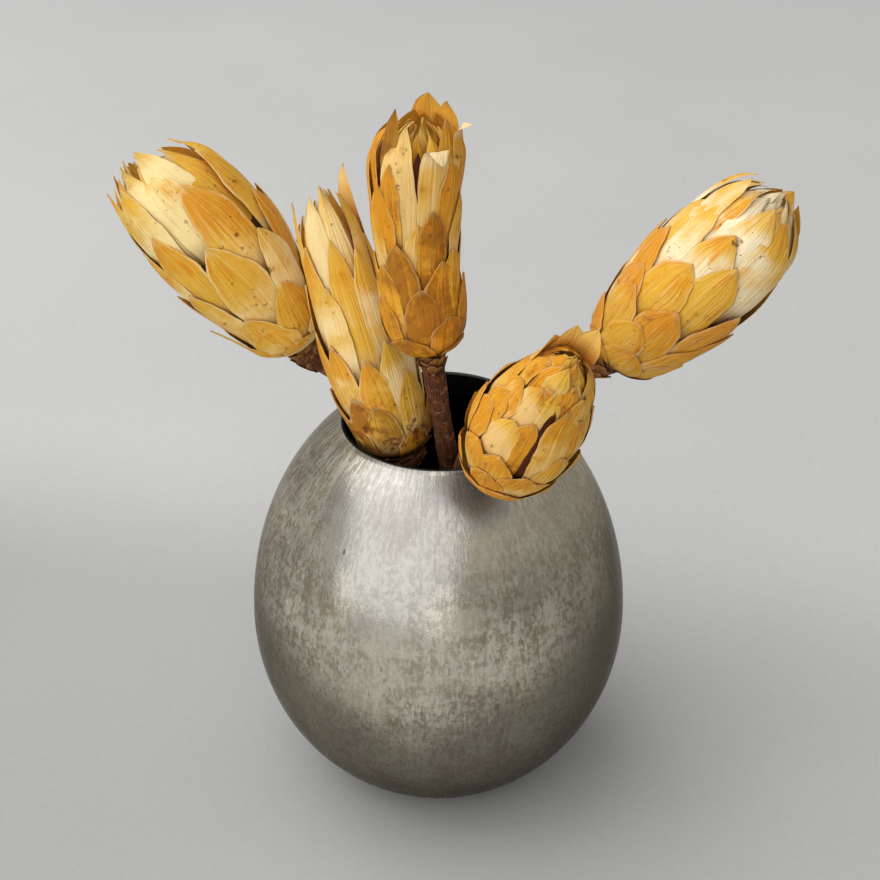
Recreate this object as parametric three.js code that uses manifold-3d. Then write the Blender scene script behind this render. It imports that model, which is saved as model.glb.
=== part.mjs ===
// Five dried protea flower heads on woody stems, standing in an egg-shaped metal vase.
// Millimetres, +Z up. The origin is the middle of the vase's flat foot, on the table.
// +X is to the right and -Y is to the front.

import * as THREE from 'three';
import { mergeVertices } from 'three/addons/utils/BufferGeometryUtils.js';
import Module from 'manifold-3d';

const wasm = await Module();
wasm.setup();

// Vase: two half ellipses turned round the axis, meeting at the widest ring.
const BELLY_RADIUS = 70;
const BELLY_HEIGHT = 70;
const LOWER_REACH = 76.2;
const UPPER_REACH = 93.3;
const VASE_HEIGHT = 151.5;
const WALL = 1.8;
const FLOOR = 2;
const COLLAR_DROP = 9;
const COLLAR_WALL = 1.3;
const VASE_SIDES = 32;
const OUTSIDE_STEPS = 12;
const INSIDE_STEPS = 7;

// Bracts: thin pointed scales. Their roots sink under the surface of the head's core.
const BRACT_THICKNESS = 0.8;
const BRACT_SINK = 2.8;
const BRACT_LENGTH_STEPS = 3;
const BRACT_WIDTH_STEPS = 2;
const GOLDEN_ANGLE = Math.PI * (3 - Math.sqrt(5));
const TOP_SHARE = 0.88;
const CORE_DEPTH = 1.5;
const CORE_TOP = 0.8;
const CORE_SIDES = 10;

// Stems.
const STEM_SIDES = 7;
const STEM_STEPS = 16;
const RECEPTACLE_LENGTH = 9;
const GAP = 0.3;

// A head's spine runs from base through middle to tip. The radii are its outer size at equal steps
// from base to tip, drawn in below the shoulder, which is a share of the length. Its bracts follow a
// golden spiral from the first tip height to the last, and halfWidth is for the lowest, middle and
// highest. The outer ones past the top share of them, and the inner ones, which stand closer and
// closer to the spine, all end at the last tip height.
// Each loose bract is angle in degrees (0 to the front, 90 to the right), root and tip heights, half
// width and lift.
const HEADS = [
  {
    name: 'head_left', base: [-49.1, 16, 171.4], middle: [-74.7, 17, 210.6], tip: [-104.2, 13.6, 247],
    radii: [12.6, 17.8, 21.8, 24.2, 23.8, 21.4, 16.4], baseRadius: 5.5, shoulder: 0.1,
    outer: 24, inner: 7, firstTip: 0.13, lastTip: 1.01, halfWidth: [7, 11, 8.4], turn: 0.4,
    loose: [[-58, 0.04, 0.31, 4, 2.6]],
  },
  {
    name: 'head_tall', base: [-13.1, -6, 141.5], middle: [-28.4, -2.2, 191.8], tip: [-41, 2, 240.7],
    radii: [13.4, 16.2, 17.4, 16.4, 14.2, 12.2, 9.2], baseRadius: 8.5, shoulder: 0.06,
    outer: 20, inner: 5, firstTip: 0.12, lastTip: 0.99, halfWidth: [6.6, 9.4, 7.4], turn: 2.1,
    loose: [[130, 0.6, 1.05, 4.6, 3.4], [-70, 0.5, 0.97, 3.4, 1.2], [6, 0.55, 1.01, 4, 0.2]],
  },
  {
    name: 'head_middle', base: [-2.5, -25, 192.5], middle: [-7.2, -26, 239.2], tip: [-5.6, -27, 281.6],
    radii: [12.8, 15.4, 15, 15.6, 16.4, 16.4, 13.6], baseRadius: 5, shoulder: 0.1,
    outer: 20, inner: 4, firstTip: 0.13, lastTip: 1, halfWidth: [6.4, 8.8, 7.6], turn: 1.1,
    loose: [
      [-23, 0.42, 0.99, 5.8, 0.3], [21, 0.4, 1, 5.4, 0.3], [172, 0.6, 1.04, 6.4, -1.5],
      [108, 0.6, 1.03, 6, -1], [66, 0.6, 1, 5.4, 0.2],
    ],
  },
  {
    name: 'head_front', base: [20.4, -46.8, 159.8], middle: [32, -66.8, 194.1], tip: [43, -88.8, 226.6],
    radii: [15.4, 18.2, 20.2, 18.8, 15, 11.2, 8], baseRadius: 5.5, shoulder: 0.1,
    outer: 24, inner: 5, firstTip: 0.13, lastTip: 1, halfWidth: [7, 9.8, 7], turn: 3,
    loose: [
      [17, 0.24, 0.84, 5.4, 0.5], [-21, 0.28, 0.76, 5.6, 0.3], [-38, 0.6, 1.02, 4.6, 1.4],
      [-100, 0.5, 0.96, 5, 2.6], [168, 0.5, 0.98, 5, 1.8],
    ],
  },
  {
    name: 'head_right', base: [59.4, 2.4, 174.4], middle: [89.3, 0.4, 207.4], tip: [116.8, -2.2, 240.6],
    radii: [13.4, 18.4, 22, 23.2, 22.6, 20.2, 15], baseRadius: 5.5, shoulder: 0.1,
    outer: 24, inner: 6, firstTip: 0.13, lastTip: 1, halfWidth: [7, 11, 9], turn: 5.2,
    loose: [[-58, 0.4, 0.98, 5, 0.9], [-20, 0.45, 1.02, 6.8, 0.3]],
  },
];

// A stem's points climb from the vase floor out through the mouth. Its last point is its head's base.
const STEMS = [
  {
    name: 'stem_left', head: 'head_left', radii: [4, 3.6], twist: 0.3,
    points: [[13, 10, 0], [-3, 14, 75], [-16, 14, 130], [-23, 14.2, 151.5], [-34.5, 15, 160.8]],
  },
  {
    name: 'stem_tall', head: 'head_tall', radii: [4.2, 3.8], twist: 1.2,
    points: [[-13, -9, 0], [-14, -8, 70], [-13, -6.5, 120]],
  },
  {
    name: 'stem_middle', head: 'head_middle', radii: [4.6, 4], twist: 2.2,
    points: [
      [10, -9, 0], [8, -9, 70], [5.5, -8.6, 115], [3.9, -9.6, 136], [2.3, -14.7, 152], [-0.4, -21, 175],
    ],
  },
  {
    name: 'stem_front', head: 'head_front', radii: [3.9, 3.4], twist: 3.1,
    points: [[-1, -19, 0], [2, -20, 70], [6.5, -20.5, 125], [9.4, -24, 149], [13, -34.5, 158.2]],
  },
  {
    name: 'stem_right', head: 'head_right', radii: [4, 3.7], twist: 4,
    points: [[-13, 5, 0], [5, 2, 75], [18, 0.5, 130], [24, 0, 151], [38, 0.8, 161.4]],
  },
];

const metal = () => new THREE.MeshStandardMaterial({ color: 0x9a948a, roughness: 0.42, metalness: 1 });
const bractPaper = () => new THREE.MeshStandardMaterial({ color: 0xd9a44e, roughness: 0.75, metalness: 0 });
const bark = () => new THREE.MeshStandardMaterial({ color: 0x5b3d27, roughness: 0.85, metalness: 0 });

const vector = (p) => new THREE.Vector3(...p);

// Seeded draw between -1 and 1 for item i of kind k.
const draw = (i, k) => {
  const n = Math.sin(i * 12.9898 + k * 78.233 + 4.1) * 43758.5453;
  return 2 * (n - Math.floor(n)) - 1;
};

// Keeps the shared corners of a geometry only, and moves each to place(corner).
const reshape = (geometry, place) => {
  geometry.deleteAttribute('normal');
  geometry.deleteAttribute('uv');
  const merged = mergeVertices(geometry, 1e-4);
  const corners = merged.attributes.position;
  for (let i = 0; i < corners.count; i += 1) {
    const moved = place(new THREE.Vector3().fromBufferAttribute(corners, i));
    corners.setXYZ(i, moved.x, moved.y, moved.z);
  }
  return merged;
};

const toSolid = (geometry) =>
  new wasm.Manifold(new wasm.Mesh({
    numProp: 3,
    vertProperties: new Float32Array(geometry.attributes.position.array),
    triVerts: new Uint32Array(geometry.index.array),
  }));

// Of the triangles, only those of the largest connected skin, so that a hollow between bracts is filled.
const outerSkin = (triangles, cornerCount) => {
  const parent = Uint32Array.from({ length: cornerCount }, (_, i) => i);
  const root = (i) => {
    let at = i;
    while (parent[at] !== at) {
      parent[at] = parent[parent[at]];
      at = parent[at];
    }
    return at;
  };
  for (let i = 0; i < triangles.length; i += 3) {
    parent[root(triangles[i + 1])] = root(triangles[i]);
    parent[root(triangles[i + 2])] = root(triangles[i]);
  }
  const sizes = new Map();
  triangles.forEach((corner) => sizes.set(root(corner), (sizes.get(root(corner)) ?? 0) + 1));
  const [largest] = [...sizes].reduce((a, b) => (b[1] > a[1] ? b : a));
  return triangles.filter((corner) => root(corner) === largest);
};

const fromSolid = (solid) => {
  const { vertProperties, triVerts } = solid.getMesh();
  const geometry = new THREE.BufferGeometry();
  geometry.setAttribute('position', new THREE.BufferAttribute(vertProperties, 3));
  geometry.setIndex(new THREE.BufferAttribute(outerSkin(triVerts, vertProperties.length / 3), 1));
  return mergeVertices(geometry, 1e-4);
};

const named = (name, geometry, material) => {
  const mesh = new THREE.Mesh(geometry, material);
  mesh.name = name;
  return mesh;
};

// A point of the vase's wall at an angle up from the widest ring, set in from the outside by depth.
const vaseWall = (angle, depth) => {
  const reach = angle < 0 ? LOWER_REACH : UPPER_REACH;
  const outside = new THREE.Vector2(BELLY_RADIUS * Math.cos(angle), BELLY_HEIGHT + reach * Math.sin(angle));
  const outward = new THREE.Vector2(Math.cos(angle) / BELLY_RADIUS, Math.sin(angle) / reach).normalize();
  return outside.addScaledVector(outward, -depth);
};

// The wall's outside from foot to mouth, a rounded rim, the collar turned down inside it, and the
// wall's inside.
const buildVase = () => {
  const foot = -Math.asin(BELLY_HEIGHT / LOWER_REACH);
  const neck = Math.asin((VASE_HEIGHT - 1 - BELLY_HEIGHT) / UPPER_REACH);
  const outside = [];
  for (let k = 0; k <= OUTSIDE_STEPS; k += 1) {
    outside.push(vaseWall(THREE.MathUtils.lerp(foot, neck, k / OUTSIDE_STEPS), 0));
  }
  const inside = [];
  for (let k = 0; k <= INSIDE_STEPS; k += 1) {
    inside.push(vaseWall(THREE.MathUtils.lerp(neck - 0.05, foot + 0.12, k / INSIDE_STEPS), WALL));
  }
  const mouth = outside[OUTSIDE_STEPS].x - WALL;
  const rim = [
    [mouth + 1.3, VASE_HEIGHT], [mouth + 0.4, VASE_HEIGHT], [mouth, VASE_HEIGHT - 0.5],
    [mouth, VASE_HEIGHT - COLLAR_DROP], [mouth + COLLAR_WALL, VASE_HEIGHT - COLLAR_DROP],
  ].map(([r, z]) => new THREE.Vector2(r, z));
  const base = new THREE.Vector2(outside[0].x - 2.5, FLOOR);
  const profile = [new THREE.Vector2(0, 0), ...outside, ...rim, ...inside, base, new THREE.Vector2(0, FLOOR)];
  const lathe = new THREE.LatheGeometry(profile, VASE_SIDES);
  return named('vase', reshape(lathe, (p) => new THREE.Vector3(p.x, -p.z, p.y)), metal());
};

// The head's bent spine. at(t) gives the point there, the way along, the way to the front and to the side.
const makeSpine = (head) => {
  const base = vector(head.base);
  const tip = vector(head.tip);
  const control = vector(head.middle).multiplyScalar(2).sub(base.clone().lerp(tip, 0.5));
  const curve = new THREE.QuadraticBezierCurve3(base, control, tip);
  const length = curve.getLength();
  const at = (t) => {
    const u = THREE.MathUtils.clamp(t, 0, 1);
    const along = curve.getTangent(u);
    const point = curve.getPoint(u).addScaledVector(along, (t - u) * length);
    const front = new THREE.Vector3(0, -1, 0).addScaledVector(along, along.y).normalize();
    return { point, along, front, side: along.clone().cross(front) };
  };
  return { at, length };
};

// Outer radius of a head at height t, rounded in at its base.
const makeEnvelope = (head) => {
  const last = head.radii.length - 1;
  const curve = new THREE.SplineCurve(head.radii.map((r, k) => new THREE.Vector2(k / last, r)));
  return (t) => {
    const full = curve.getPoint(THREE.MathUtils.clamp(t, 0, 1)).y;
    const below = THREE.MathUtils.clamp(1 - t / head.shoulder, 0, 1);
    return Math.max(head.baseRadius, full * Math.sqrt(1 - below ** 2));
  };
};

// A point at angle round the spine, at height t and distance r from it.
const onHead = (spine, t, angle, r) => {
  const { point, front, side } = spine.at(t);
  return point.addScaledVector(front, r * Math.cos(angle)).addScaledVector(side, r * Math.sin(angle));
};

// The packed florets and bract roots inside a head, turned round its spine.
const buildCore = (spine, envelope) => {
  const profile = [[0, 0]];
  for (const t of [0, 0.04, 0.1, 0.25, 0.45, 0.65]) {
    profile.push([Math.max(envelope(t) - CORE_DEPTH, 4), t]);
  }
  profile.push([envelope(CORE_TOP) * 0.4, CORE_TOP], [0, CORE_TOP + 0.03]);
  const lathe = new THREE.LatheGeometry(profile.map(([r, t]) => new THREE.Vector2(r, t)), CORE_SIDES);
  return reshape(lathe, (p) => onHead(spine, p.y, Math.atan2(p.x, p.z), Math.hypot(p.x, p.z)));
};

// A bract's half width along it, from its root at s = 0 to its point at s = 1.
const bractOutline = (s) => (s < 0.5 ? 0.75 + 0.25 * Math.sin(Math.PI * s)
  : Math.max(0.14, 1 - ((s - 0.5) / 0.5) ** 2.2));

// One bract: a thin plate bent round the spine, sunk at its root and lifted at its point. Share draws
// the inner ones in towards the spine.
const buildBract = (spine, envelope, { angle, root, tip, halfWidth, lift, share = 1 }) => {
  const plate = new THREE.BoxGeometry(2, 1, 1, BRACT_WIDTH_STEPS, BRACT_LENGTH_STEPS, 1);
  return reshape(plate, (p) => {
    const s = 1 - (0.5 - p.y) ** 1.5;
    const t = THREE.MathUtils.lerp(root, tip, s);
    const surface = envelope(t) * share - BRACT_SINK * (1 - s) ** 0.9 + lift * s ** 3;
    const r = Math.max(surface + (p.z - 0.5) * BRACT_THICKNESS, 1 + 0.5 * p.z);
    const across = (p.x * halfWidth * bractOutline(s)) / Math.max(envelope(t) * share, 5);
    return onHead(spine, t, angle + across, r);
  });
};

const threeWay = ([low, middle, high], f) => (f < 0.5
  ? THREE.MathUtils.lerp(low, middle, 2 * f) : THREE.MathUtils.lerp(middle, high, 2 * f - 1));

const buildHead = (head, order) => {
  const spine = makeSpine(head);
  const envelope = makeEnvelope(head);
  let solid = toSolid(buildCore(spine, envelope));
  for (let i = 0; i < head.outer + head.inner; i += 1) {
    const f = Math.min(i / (head.outer - 1), 1);
    const inward = Math.max(i - head.outer + 1, 0) / head.inner;
    const climb = Math.min(f / TOP_SHARE, 1);
    const tip = THREE.MathUtils.lerp(head.firstTip, head.lastTip, climb) + 0.015 * draw(i, order);
    const bract = {
      angle: head.turn + i * GOLDEN_ANGLE + 0.1 * draw(i, order + 10),
      root: Math.max(0.02, tip - THREE.MathUtils.lerp(0.16, 0.46, f)),
      tip,
      halfWidth: threeWay(head.halfWidth, f) * (1 + 0.08 * draw(i, order + 20) - 0.25 * inward),
      lift: 0.2 + 0.3 * draw(i, order + 30),
      share: 1 - 0.6 * inward,
    };
    solid = solid.add(toSolid(buildBract(spine, envelope, bract)));
  }
  for (const [degrees, root, tip, halfWidth, lift] of head.loose) {
    const bract = { angle: THREE.MathUtils.degToRad(degrees), root, tip, halfWidth, lift };
    solid = solid.add(toSolid(buildBract(spine, envelope, bract)));
  }
  return named(head.name, fromSolid(solid), bractPaper());
};

// A woody stem: a knobbly tapering tube, cut flat at the vase floor and flared under its head.
const buildStem = (stem) => {
  const head = HEADS.find(({ name }) => name === stem.head);
  const { point: base, along } = makeSpine(head).at(0);
  const foot = vector(stem.points[0]).setZ(FLOOR + GAP);
  const top = base.clone().addScaledVector(along, -GAP);
  const curve = new THREE.CatmullRomCurve3([foot, ...stem.points.slice(1).map(vector), top]);
  const length = curve.getLength();
  const frames = curve.computeFrenetFrames(STEM_STEPS);
  const rings = frames.tangents.map((tangent, k) => {
    const end = k === 0 ? new THREE.Vector3(0, 0, 1) : k === STEM_STEPS ? along : tangent;
    const turn = new THREE.Quaternion().setFromUnitVectors(tangent, end);
    return {
      centre: curve.getPointAt(k / STEM_STEPS),
      across: frames.normals[k].clone().applyQuaternion(turn).negate(),
      round: frames.binormals[k].clone().applyQuaternion(turn),
    };
  });
  const tube = new THREE.CylinderGeometry(1, 1, 1, STEM_SIDES, STEM_STEPS);
  return named(stem.name, reshape(tube, (p) => {
    const u = p.y + 0.5;
    const { centre, across, round } = rings[Math.round(u * STEM_STEPS)];
    const turn = 2 * Math.atan2(p.x, p.z);
    const knob = 1 + 0.05 * Math.sin(40 * u + stem.twist) + 0.04 * Math.sin(turn + 17 * u);
    const cup = THREE.MathUtils.smoothstep((u - 1) * length, -RECEPTACLE_LENGTH, 0);
    const flare = cup * (head.baseRadius - 0.2 - stem.radii[1]);
    const r = THREE.MathUtils.lerp(stem.radii[0], stem.radii[1], u) * knob + flare;
    return centre.clone().addScaledVector(across, r * p.x).addScaledVector(round, r * p.z);
  }), bark());
};

const protea = new THREE.Group();
protea.add(buildVase());
STEMS.forEach((stem) => protea.add(buildStem(stem)));
HEADS.forEach((head, order) => protea.add(buildHead(head, order)));

export default protea;
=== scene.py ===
import math

import bpy
import numpy as np
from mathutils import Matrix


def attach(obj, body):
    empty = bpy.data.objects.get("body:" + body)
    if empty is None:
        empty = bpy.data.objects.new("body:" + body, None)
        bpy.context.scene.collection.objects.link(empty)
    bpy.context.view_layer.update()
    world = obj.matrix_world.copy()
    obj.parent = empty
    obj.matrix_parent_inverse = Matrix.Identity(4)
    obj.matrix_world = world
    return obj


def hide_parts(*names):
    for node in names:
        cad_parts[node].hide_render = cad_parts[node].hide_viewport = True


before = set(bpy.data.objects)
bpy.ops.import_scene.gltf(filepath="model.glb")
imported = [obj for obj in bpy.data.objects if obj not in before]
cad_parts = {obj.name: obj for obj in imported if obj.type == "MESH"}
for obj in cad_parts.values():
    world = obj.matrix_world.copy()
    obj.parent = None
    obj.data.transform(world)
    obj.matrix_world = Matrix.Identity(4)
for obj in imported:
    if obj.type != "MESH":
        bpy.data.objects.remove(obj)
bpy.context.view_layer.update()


# Viewpoint. A short telephoto view from the front, looking down on the vase by 31 degrees, so
# that the mouth and the top of each flower head are seen.

EYE = (0.00057, -0.64839, 0.53861)
LOOKING_DOWN = 31.42
FILM_WIDTH, FOCAL_LENGTH = 36, 85.62
NEAREST_SEEN, FARTHEST_SEEN = 0.05, 30

camera = bpy.data.objects.new("viewpoint", bpy.data.cameras.new("viewpoint"))
bpy.context.scene.collection.objects.link(camera)
camera.location = EYE
camera.rotation_euler = (math.radians(90 - LOOKING_DOWN), 0, 0)
camera.data.sensor_width, camera.data.lens = FILM_WIDTH, FOCAL_LENGTH
camera.data.clip_start, camera.data.clip_end = NEAREST_SEEN, FARTHEST_SEEN
bpy.context.scene.camera = camera
bpy.context.scene.view_settings.view_transform = "Standard"


# Table and daylight. The vase stands on a pale table, its grey painted darker on the near left as
# painted shade against the close window, and lighter to the right and further back. A wide window to
# the left of the camera gives the broad bright patch on the vase's shoulder, a ceiling panel fills
# from above, and the room to the right is darker.

MM = 0.001
TABLE_HALF = 8.0
TABLE_CORNERS = [[-1, -1, 0], [1, -1, 0], [1, 1, 0], [-1, 1, 0]]
LEFT_GREY, RIGHT_GREY, FAR_GREY = (0.37, 0.37, 0.368), (0.46, 0.46, 0.455), (0.55, 0.55, 0.545)
GRAIN_SHADE = (0.93, 0.93, 0.93)
LEFT_TO_RIGHT, NEAR_TO_FAR, FAR_SLANT = (-0.3, 0.15), (0.06, 0.2), 0.28
LEFT_WALL, RIGHT_WALL, OVERHEAD = 0.42, 0.3, 0.1


def put_mesh(name, points, faces):
    """A smooth-shaded object at the origin from points and a list of index arrays of faces."""
    mesh = bpy.data.meshes.new(name)
    mesh.from_pydata(np.asarray(points).tolist(), [], [f for group in faces for f in group.tolist()])
    mesh.update()
    mesh.polygons.foreach_set("use_smooth", np.ones(len(mesh.polygons), bool))
    piece = bpy.data.objects.new(name, mesh)
    bpy.context.scene.collection.objects.link(piece)
    return piece


class Wire:
    """A number or colour in a material. Arithmetic on it adds Math nodes to that material."""

    def __init__(self, finish, socket):
        self.finish, self.socket = finish, socket

    def maths(self, operation, *values):
        """A Math node on wires and plain numbers."""
        return self.finish.node("ShaderNodeMath", {"operation": operation}, dict(enumerate(values)))

    def __add__(self, other):
        return self.maths("ADD", self, other)

    def __sub__(self, other):
        return self.maths("SUBTRACT", self, other)

    def __rsub__(self, other):
        return self.maths("SUBTRACT", other, self)

    def __mul__(self, other):
        return self.maths("MULTIPLY", self, other)

    def __abs__(self):
        return self.maths("ABSOLUTE", self)

    __radd__, __rmul__ = __add__, __mul__


class Finish:
    """A material on one Principled shader, built from nodes, or nodes added to a tree that is given."""

    def __init__(self, name, tree=None, **constants):
        self.tree = tree
        if tree is None:
            self.material = bpy.data.materials.new(name)
            self.material.use_nodes = True
            self.tree = self.material.node_tree
            self.shader = self.tree.nodes["Principled BSDF"]
        for socket, value in constants.items():
            self.shader.inputs[socket.replace("_", " ")].default_value = value

    def node(self, kind, settings, sockets, output=0):
        """Adds a node: its settings are set first, then its sockets' values or links."""
        made = self.tree.nodes.new(kind)
        for key, value in settings.items():
            setattr(made, key, value)
        for key, value in sockets.items():
            self.join(value, made.inputs[key])
        return Wire(self, made.outputs[output])

    def join(self, value, socket):
        """Links a wire to a socket, or sets a plain number or colour there."""
        if isinstance(value, Wire):
            self.tree.links.new(value.socket, socket)
        elif socket.type == "RGBA":
            socket.default_value = (*value, 1)
        else:
            socket.default_value = value

    def spot(self):
        """Where a point lies on its piece, in metres."""
        return self.node("ShaderNodeTexCoord", {}, {}, "Object")

    def attribute(self, name):
        """The vector of that name that each point of the piece carries."""
        return self.node("ShaderNodeAttribute", {"attribute_name": name}, {}, "Vector")

    def split(self, vector):
        """The three parts of a vector."""
        return [self.node("ShaderNodeSeparateXYZ", {}, {0: vector}, k) for k in range(3)]

    def vector(self, x, y, z):
        """One vector from three parts."""
        return self.node("ShaderNodeCombineXYZ", {}, {0: x, 1: y, 2: z})

    def stretch(self, vector, scale):
        """A vector times a scale, part by part."""
        return self.node("ShaderNodeVectorMath", {"operation": "MULTIPLY"}, {0: vector, 1: scale})

    def noise(self, vector, scale, detail, rough=0.5, bend=0.0):
        """Soft noise about 0.5, with scale grains to each unit of the vector."""
        return self.node("ShaderNodeTexNoise", {}, {
            "Vector": vector, "Scale": scale, "Detail": detail, "Roughness": rough, "Distortion": bend})

    def step(self, value, low, high, start=0.0, end=1.0):
        """Goes smoothly from start to end as the value goes from low to high."""
        return self.node("ShaderNodeMapRange", {"interpolation_type": "SMOOTHSTEP"}, {
            "Value": value, "From Min": low, "From Max": high, "To Min": start, "To Max": end})

    def mix(self, share, first, second, blend="MIX"):
        """Goes from the first colour to the second as the share goes from 0 to 1."""
        return self.node("ShaderNodeMix", {"data_type": "RGBA", "blend_type": blend}, {
            0: share, 6: first, 7: second}, 2)

    def layers(self, colour, *washes):
        """Washes laid over a first colour in turn, each a mask and the colour that shows through it."""
        for mask, wash in washes:
            colour = self.mix(mask, colour, wash)
        return colour

    def near(self, place, centre, half_size):
        """One around a mark's centre, falling to nothing at a little over its half sizes, all in mm."""
        away = self.node("ShaderNodeVectorMath", {"operation": "SUBTRACT"}, {
            0: place, 1: [value * MM for value in centre]})
        away = self.stretch(away, [1 / (value * MM) for value in half_size])
        distance = self.node("ShaderNodeVectorMath", {"operation": "LENGTH"}, {0: away}, "Value")
        return self.step(distance, 1.3, 0.7)

    def bump(self, height, distance, strength):
        """Feeds the shader's Normal from a height in 0 to 1 that stands for distance in metres."""
        self.join(self.node("ShaderNodeBump", {}, {
            "Height": height, "Distance": distance, "Strength": strength}), self.shader.inputs["Normal"])

    def feed(self, **wires):
        """Joins what varies over the surface to the shader, and returns the material."""
        for socket, value in wires.items():
            self.join(value, self.shader.inputs[socket.replace("_", " ")])
        return self.material


def lamp(name, energy, size, place, target, colour=(1, 1, 1)):
    """A rectangular light at a place, turned to shine at the target. The camera doesn't see it."""
    light = bpy.data.lights.new(name, "AREA")
    light.energy, light.shape, light.color = energy, "RECTANGLE", colour
    light.size, light.size_y = size
    holder = bpy.data.objects.new(name, light)
    bpy.context.scene.collection.objects.link(holder)
    holder.location = place
    holder.visible_camera = False
    away = np.array(place, float) - np.array(target, float)
    tilt = math.atan2(math.hypot(away[0], away[1]), away[2])
    holder.rotation_euler = (tilt, 0, math.atan2(away[1], away[0]) + math.pi / 2)


table = put_mesh("table", np.array(TABLE_CORNERS) * TABLE_HALF, [np.array([[0, 1, 2, 3]])])
stone = Finish("pale_table", Roughness=0.85)
spot = stone.spot()
aside, back, _ = stone.split(spot)
# Painted shade: the table's grey is darker on the near left, lighter to the right and further back.
near_grey = stone.mix(stone.step(aside, *LEFT_TO_RIGHT), LEFT_GREY, RIGHT_GREY)
grey = stone.mix(stone.step(back + aside * FAR_SLANT, *NEAR_TO_FAR), near_grey, FAR_GREY)
shaded = stone.mix(1.0, grey, GRAIN_SHADE, "MULTIPLY")
grain = stone.noise(spot, 5.0, 4.0) * 0.5 + stone.noise(spot, 320.0, 4.0, 0.7) * 0.5
table.data.materials.append(stone.feed(Base_Color=stone.mix(stone.step(grain, 0.35, 0.65), shaded, grey)))

lamp("window", energy=31, size=(2.9, 2.26), place=(-0.78, -1.4, 1.02), target=(0, 0, 0.12),
     colour=(1.0, 0.99, 0.97))
lamp("ceiling", energy=30, size=(2.3, 2.3), place=(-0.8, 0.3, 1.9), target=(0, 0, 0.1))
room = bpy.data.worlds.new("room")
bpy.context.scene.world = room
room.use_nodes = True
background = room.node_tree.nodes["Background"]
walls = Finish("walls", room.node_tree)
side, _, up = walls.split(walls.node("ShaderNodeTexCoord", {}, {}, "Generated"))
glow = walls.step(side, -1, 1, LEFT_WALL, RIGHT_WALL) + walls.step(up, 0.1, 0.9, 0.0, OVERHEAD)
walls.join(glow, background.inputs["Strength"])
background.inputs["Color"].default_value = (1, 1, 1, 1)


# Vase. A spun and hammered egg of grey metal, brushed and mottled, with painted shade to the right and
# below, a rolled rim and a short collar turned down inside its mouth. Inside it is painted nearly
# black as shade.

BELLY_RADIUS, BELLY_HEIGHT = 70 * MM, 70 * MM
LOWER_REACH, UPPER_REACH = 76.2 * MM, 93.3 * MM
VASE_HEIGHT, WALL, VASE_FLOOR = 151.5 * MM, 1.8 * MM, 2 * MM
RIM_ROLL = 1 * MM
COLLAR_TOP, COLLAR_DROP, COLLAR_WALL, COLLAR_CORNER = 4 * MM, 9 * MM, 1.3 * MM, 0.4 * MM
SOLE_EDGE, SOLE_ROUND, SOLE_LIFT, WELL_EDGE = 1.6 * MM, 0.5 * MM, 0.15 * MM, 2.5 * MM
VASE_SIDES, OUTSIDE_ROWS, RIM_ROWS, INSIDE_ROWS = 192, 132, 10, 56
SOLE_TURN, ROLL_FROM, COLLAR_TURN, WELL_TURN = 0.012, 0.25, 0.05, 0.12

# Colours of the metal's ground and of the washes over it, several of them painted light and shade,
# then of its marks and of the inside's painted shade.
OLIVE, TAN = (0.505, 0.463, 0.325), (0.475, 0.42, 0.355)
DULLED, BRIGHT, BRIGHTENING = (0.66, 0.64, 0.60), (0.80, 0.77, 0.68), 0.42
DARK_BLOTCH, PALE_BLOTCH = (0.23, 0.195, 0.14), (0.66, 0.63, 0.52)
PALE_SCRATCH, DARK_DASH = (0.82, 0.78, 0.62), (0.13, 0.115, 0.09)
PAINTED_HIGHLIGHT_GREY, DIMMED_HIGHLIGHT_GREY, HEAD_REFLECTION_GREY = (0.78, 0.76, 0.69), (0.30, 0.298, 0.29), (0.25, 0.27, 0.29)
SHOULDER_LIGHT, RIGHT_SHADE_DARK, UNDERSIDE_SHADE, FOOT_SHADE = (
    (0.90, 0.80, 0.58), (0.11, 0.10, 0.075), (0.15, 0.14, 0.11), (0.09, 0.085, 0.065))
NICK_DARK, SCUFF_PALE = (0.08, 0.075, 0.065), (0.80, 0.78, 0.68)
INSIDE_SHADE_DARK, LIP_GREY = (0.028, 0.032, 0.030), (0.16, 0.16, 0.15)

# Where each wash of colour starts and where it is full, across the vase or up it.
RAYS_UP, AGED_UP = (130 * MM, 149 * MM), (112 * MM, 98 * MM)
SHOULDER_LIGHT_ACROSS, SHOULDER_LIGHT_UP = (2 * MM, 22 * MM), (105 * MM, 135 * MM)
RIGHT_SHADE_ACROSS, RIGHT_SHADE_UP = (25 * MM, 66 * MM), (140 * MM, 100 * MM)
UNDERSIDE_SHADE_UP, UNDERSIDE_SHADE_ASIDE, FOOT_UP = (72 * MM, 46 * MM), 8 * MM, (40 * MM, 14 * MM)
LIP_HEIGHT, LIP_EDGE = VASE_HEIGHT - COLLAR_DROP + 0.3 * MM, (0.7 * MM, 0.3 * MM)
BRUSHING_DEPTH = 0.18 * MM

# Marks on the vase, in mm: a nick, a scuff, and three painted patches on the window's reflection,
# a painted highlight below it, painted shade that dims it near the rim and a painted dark reflection
# of the front head.
NICK = dict(centre=(-32.9, -46.1, 124.9), half_size=(0.6, 0.6, 1.6))
SCUFF = dict(centre=(-53.8, -39.8, 97.2), half_size=(1.8, 1.8, 4))
DIMMED_HIGHLIGHT = dict(centre=(-14, -46, 128), half_size=(25, 30, 34))
PAINTED_HIGHLIGHT = dict(centre=(-14, -66, 92), half_size=(32, 20, 15))
HEAD_REFLECTION = dict(centre=(14, -38, 144), half_size=(12, 12, 14))


def vase_wall(angle, depth):
    """The wall's radius and height at an angle up from the widest ring: two half ellipses, moved
    in along their normal by depth."""
    reach = np.where(angle < 0, LOWER_REACH, UPPER_REACH)
    outside = np.stack([BELLY_RADIUS * np.cos(angle), BELLY_HEIGHT + reach * np.sin(angle)], 1)
    outward = np.stack([np.cos(angle) / BELLY_RADIUS, np.sin(angle) / reach], 1)
    return outside - depth * outward / np.linalg.norm(outward, axis=1, keepdims=True)


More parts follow.
